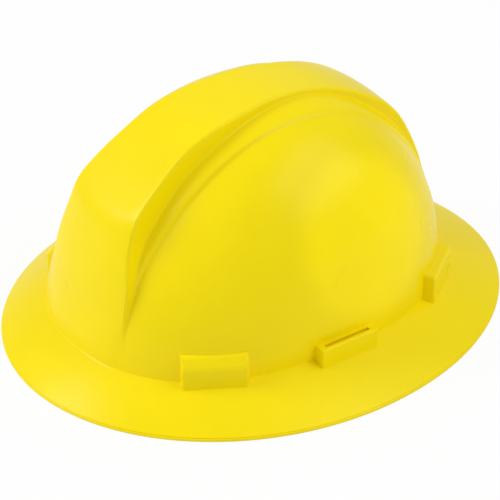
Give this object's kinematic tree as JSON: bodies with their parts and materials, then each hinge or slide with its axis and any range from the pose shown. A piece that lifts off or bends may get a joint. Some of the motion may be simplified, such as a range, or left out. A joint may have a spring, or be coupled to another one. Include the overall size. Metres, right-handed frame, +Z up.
{
  "type": "full brim hard hat",
  "caption": "Full brim hard hat: yellow moulded shell with a crest and accessory slots, strap suspension, padded headband and ratchet nape band with a knob.",
  "frame": {"origin": "on the plane that the brim's lower edge rests on, under the middle of the brim", "axes": "+Z up through the crown, -Y to the front, +X to the wearer's left"},
  "size_m": [0.276, 0.3294, 0.1519],
  "materials": {
    "shell_yellow": "satin gloss",
    "hanger_plastic": "matte",
    "webbing": "woven",
    "pad_fabric": "soft",
    "band_plastic": "matte",
    "ratchet_plastic": "matte",
    "steel": "zinc plated"
  },
  "bodies": {
    "shell_body": {"shell": "shell_yellow", "front_left_hanger": "hanger_plastic", "front_right_hanger": "hanger_plastic", "rear_left_hanger": "hanger_plastic", "rear_right_hanger": "hanger_plastic", "crown_strap_left": "webbing", "crown_strap_right": "webbing", "crown_pad": "pad_fabric"},
    "headband_body": {"headband": "band_plastic", "brow_pad": "pad_fabric"},
    "nape_carrier": {"left_stud": "hanger_plastic", "right_stud": "hanger_plastic"},
    "nape_housing": {"housing_base": "ratchet_plastic", "housing_cover": "ratchet_plastic", "housing_screws": "steel", "nape_pad": "pad_fabric", "detent_ring": "ratchet_plastic"},
    "left_arm_body": {"left_arm": "band_plastic"},
    "right_arm_body": {"right_arm": "band_plastic"},
    "knob_body": {"adjusting_knob": "ratchet_plastic", "pinion": "band_plastic", "click_spring": "band_plastic", "knob_screw": "steel"}
  },
  "joints": [
    {"name": "headband_height", "type": "slide", "parent": "shell_body", "child": "headband_body", "axis": [0, 0, 1], "range_m": [0, 0.004]},
    {"name": "nape_swing", "type": "hinge", "parent": "headband_body", "child": "nape_carrier", "pos_m": [0, -0.00993, 0.024], "axis": [1, 0, 0], "range_deg": [0, 5]},
    {"name": "nape_travel", "type": "slide", "parent": "nape_carrier", "child": "nape_housing", "axis": [0, -1, 0], "range_m": [0, 0.02786]},
    {"name": "knob_turn", "type": "hinge", "parent": "nape_housing", "child": "knob_body", "pos_m": [0, 0.1, 0.024], "axis": [0, -1, 0], "range_deg": [0, 268]},
    {"name": "left_arm_slide", "type": "hinge", "parent": "nape_housing", "child": "left_arm_body", "pos_m": [0, 0.004, 0.024], "axis": [0, 0, 1], "range_deg": [0, 19.7]},
    {"name": "right_arm_slide", "type": "hinge", "parent": "nape_housing", "child": "right_arm_body", "pos_m": [0, 0.004, 0.024], "axis": [0, 0, -1], "range_deg": [0, 19.32]}
  ],
  "couplings": [
    {"joint": "knob_turn", "follows": "nape_travel", "rad_per_m": 167.49},
    {"joint": "left_arm_slide", "follows": "nape_travel", "rad_per_m": 12.315},
    {"joint": "right_arm_slide", "follows": "nape_travel", "rad_per_m": 12.078}
  ]
}
